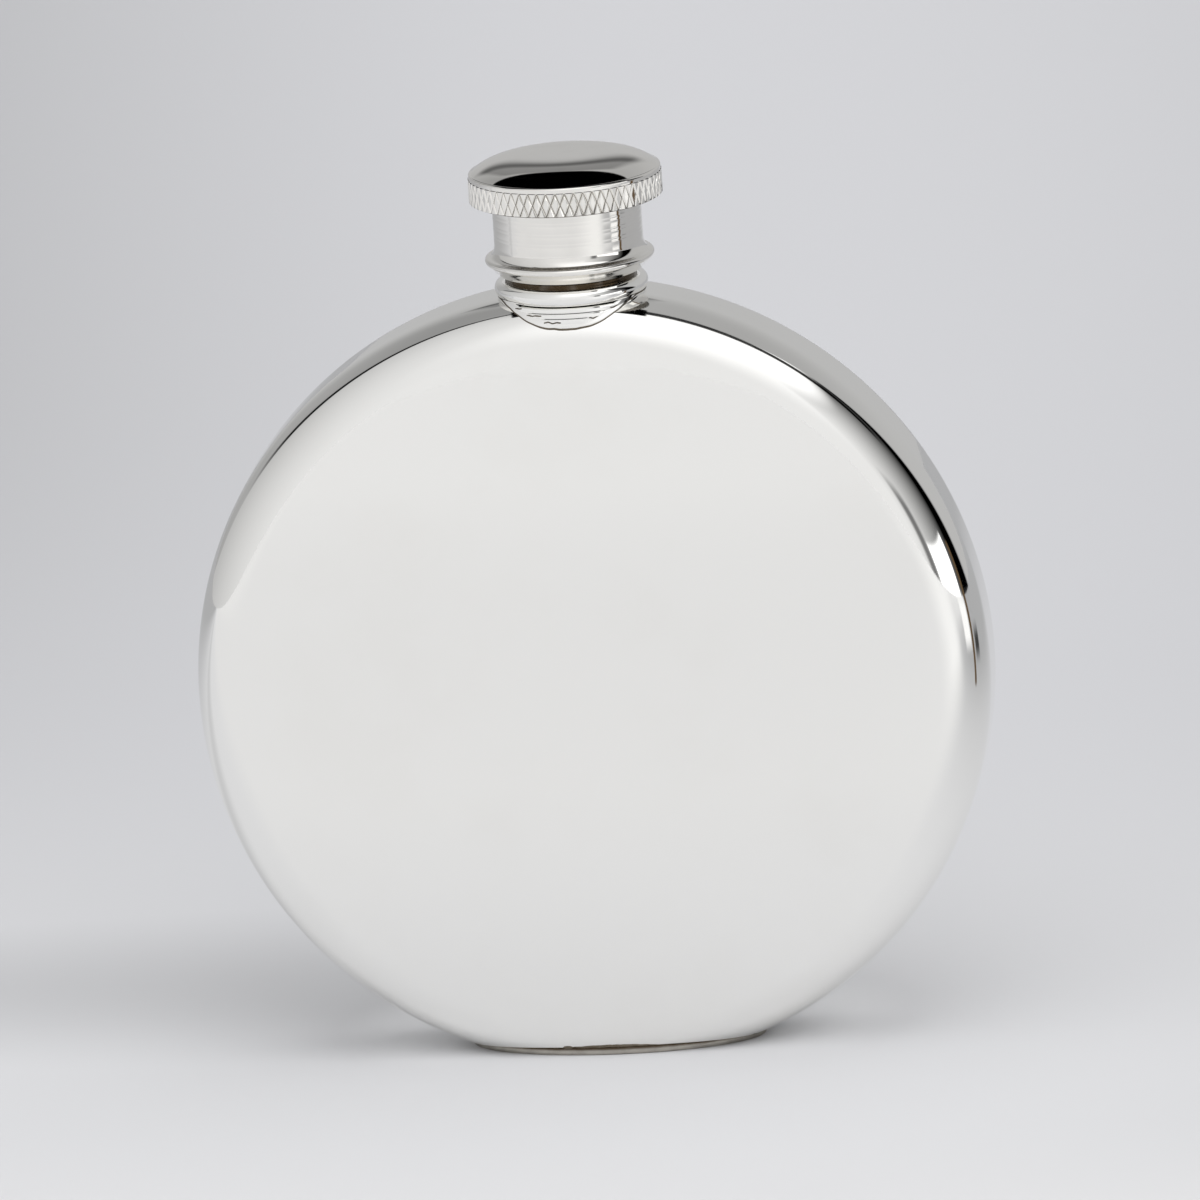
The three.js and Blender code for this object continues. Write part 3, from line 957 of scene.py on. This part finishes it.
def addKnurlPad(bm, h, height, turn, keep=0):
    pitch = math.tau * h["radius"] / h["knurlCount"]
    tall = h["knurlTop"] - h["bottom"] - h["knurlLow"] - h["knurlHigh"]
    made = bmesh.ops.create_circle(bm, cap_ends=True, segments=4, radius=1)["verts"]
    grow = 1 - h["knurlGroove"] / pitch
    bmesh.ops.scale(bm, verts=made, vec=(pitch / 2 * grow, tall / 2 * grow, 1))
    face = made[0].link_faces[0]
    pad = list(made)
    for inward, share in h["knurlSlopes"]:
        bmesh.ops.inset_individual(bm, faces=[face], thickness=inward, depth=0.0)
        bmesh.ops.translate(bm, verts=face.verts, vec=(0, 0, share * h["knurlDepth"]))
        pad += face.verts[:]
    sunk = 0.02 - h["radius"] + h["knurlDepth"]
    stand = Matrix.Rotation(turn, 4, "Z") @ Matrix.Translation((0, sunk, height))
    stand = stand @ Matrix.Rotation(math.radians(90), 4, "X")
    bmesh.ops.transform(bm, matrix=stand, verts=pad)
    faces = list({f for v in pad for f in v.link_faces})
    if keep:
        edges = list({e for f in faces for e in f.edges})
        cut = bmesh.ops.bisect_plane(bm, geom=pad + edges + faces, dist=1e-5, plane_co=(0, 0, height),
                                     plane_no=(0, 0, keep), clear_outer=True)
        rim = [item for item in cut["geom_cut"] if isinstance(item, bmesh.types.BMEdge)]
        bmesh.ops.triangle_fill(bm, edges=rim, use_beauty=True)


def knurlHead(h):
    radius = h["radius"] - h["rimInset"]
    core = h["radius"] - h["knurlDepth"]
    edge = radius - h["rimRound"]
    points = [(0, h["recessTop"]), (h["recessRadius"], h["recessTop"]), (h["recessRadius"], h["bottom"]),
              (core - 0.25, h["bottom"]), (core, h["bottom"] + 0.2), (core, h["knurlTop"] - 0.1),
              (radius, h["knurlTop"] + 0.02)]
    points += arcPoints((edge, h["rimTop"] - h["rimRound"]), (h["rimRound"],) * 2, 0, 90, 8)
    foot = points[-1]
    for i in range(1, h["domeSteps"] + 1):
        across = 1 - i / h["domeSteps"]
        points.append((foot[0] * across, foot[1] + h["domeHeight"] * (1 - across ** h["domePower"])))
    bm = spinProfile(points, h["steps"], "Z", False)
    pads = bmesh.new()
    low, high = h["bottom"] + h["knurlLow"], h["knurlTop"] - h["knurlHigh"]
    half = math.pi / h["knurlCount"]
    addKnurlPad(pads, h, (low + high) / 2, 0)
    addKnurlPad(pads, h, high, half, 1)
    addKnurlPad(pads, h, low, half, -1)
    bmesh.ops.holes_fill(pads, edges=[e for e in pads.edges if e.is_boundary])   # closes the undersides
    bmesh.ops.recalc_face_normals(pads, faces=pads.faces)
    count = h["knurlCount"]
    bmesh.ops.spin(pads, geom=pads.verts[:] + pads.edges[:] + pads.faces[:], cent=(0, 0, 0), axis=(0, 0, 1),
                   angle=math.tau * (count - 1) / count, steps=count - 1, use_duplicate=True)
    spare = bpy.data.meshes.new("knurlPads")
    pads.to_mesh(spare)
    pads.free()
    bm.from_mesh(spare)
    bpy.data.meshes.remove(spare)
    return makeObject("capHead", bm)


fitPiece(turnSkirt(skirtShape), "cap", capPewter, "cap_skirt", 24)
ledgeTop = skirtShape["foot"] + skirtShape["ledgeThick"]
bush = turnBush(bushShape, ledgeTop, tubeShape)
fitPiece(bush, "cap", threadPewter, "cap_thread_bush")
cap = knurlHead(headShape)
fitPiece(cap, "cap", capPewter, "cap_head", 24)
cap.data.materials.append(paintedGrooveShade)
knurlRoot = headShape["radius"] - headShape["knurlDepth"]
for face in cap.data.polygons:   # painted shade: darker metal between the diamonds and under the head
    out = math.hypot(face.center.x, face.center.y) / mm
    high = face.center.z / mm
    inRing = headShape["recessRadius"] + 0.05 < out < knurlRoot + 0.01
    if inRing and headShape["bottom"] - 0.01 < high < headShape["knurlTop"]:
        face.material_index = 1
fitPiece(cutSeal(sealShape), "seal", linerRubber, "cap_seal", 40)
print("cap turned")
